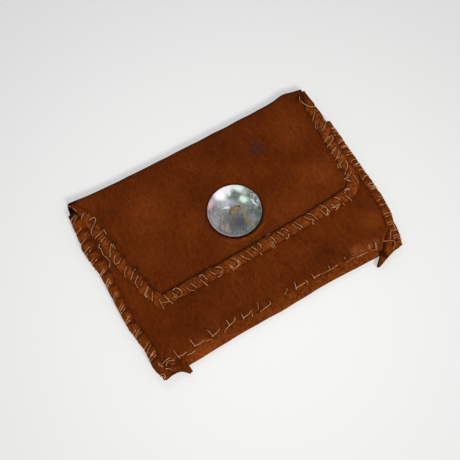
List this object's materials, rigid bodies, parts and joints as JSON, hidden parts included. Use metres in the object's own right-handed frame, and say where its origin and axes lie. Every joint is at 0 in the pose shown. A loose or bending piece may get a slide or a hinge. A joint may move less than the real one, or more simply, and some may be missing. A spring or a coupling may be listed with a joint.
{
  "type": "suede pouch",
  "caption": "Flat suede pouch with a fold-over flap hemmed on three sides, bellows side gussets and a large round shell button tied to the flap",
  "frame": {"origin": "On the flat underside of the back, near the middle of the pouch", "axes": "+X along the width to the right seam, +Y up the pouch to the top fold, +Z out of the front"},
  "size_m": [0.2007, 0.1464, 0.0132],
  "materials": {
    "suede": "orange brown suede with a short matt nap",
    "shell": "polished iridescent sea shell",
    "thread": "pale tan waxed thread"
  },
  "bodies": {
    "root": {"back_and_flap": "suede", "front_panel": "suede", "left_gusset": "suede", "right_gusset": "suede", "shell_button": "shell", "button_thread": "thread"}
  },
  "joints": []
}
